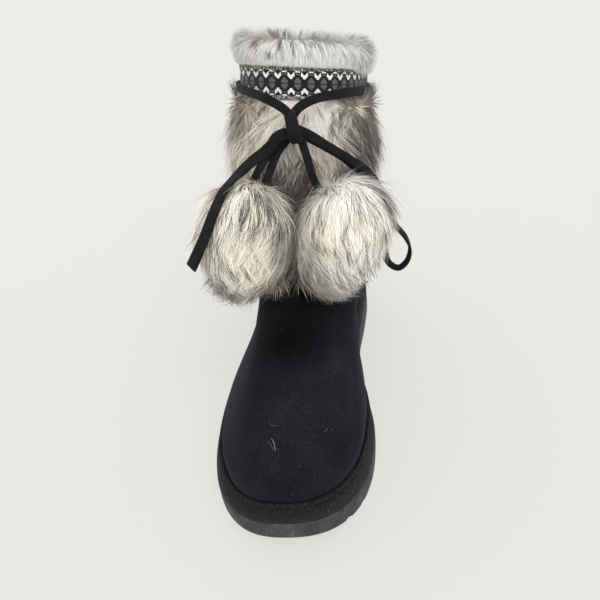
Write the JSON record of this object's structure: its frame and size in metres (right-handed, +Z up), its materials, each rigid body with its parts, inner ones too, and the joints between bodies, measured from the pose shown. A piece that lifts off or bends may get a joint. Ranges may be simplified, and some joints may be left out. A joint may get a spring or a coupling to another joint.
{
  "type": "winter boot",
  "caption": "Pull-on winter boot with a suede foot on a lugged moulded sole, a fur shaft with a woven band and fur cuff, and a drawstring tied in front that ends in fur pompoms.",
  "frame": {"origin": "on the floor, under the middle of the boot's length and width", "axes": "+Z up, -Y towards the toe, +X towards the medial side of this right boot"},
  "size_m": [0.1243, 0.264, 0.2332],
  "materials": {
    "sole_rubber": "matte moulded foam rubber",
    "welt_twill": "ribbed twill tape",
    "insole_felt": "felted lining",
    "upper_suede": "napped suede",
    "shaft_fur": "long faux fur with dark tips",
    "band_woven": "woven ribbon",
    "cuff_fur": "short white faux fur",
    "cord_suede": "flat suede lace",
    "pompom_fur": "long faux fur with dark tips"
  },
  "bodies": {
    "root": {"outsole": "sole_rubber", "welt": "welt_twill", "insole": "insole_felt", "upper": "upper_suede", "shaft": "shaft_fur", "woven_band": "band_woven", "cuff": "cuff_fur", "drawstring": "cord_suede", "bow_knot": "cord_suede", "bow_tail": "cord_suede", "bow_loop": "cord_suede", "pompom_lateral": "pompom_fur", "pompom_lateral_string": "cord_suede", "pompom_medial": "pompom_fur", "pompom_medial_string": "cord_suede"}
  },
  "joints": []
}
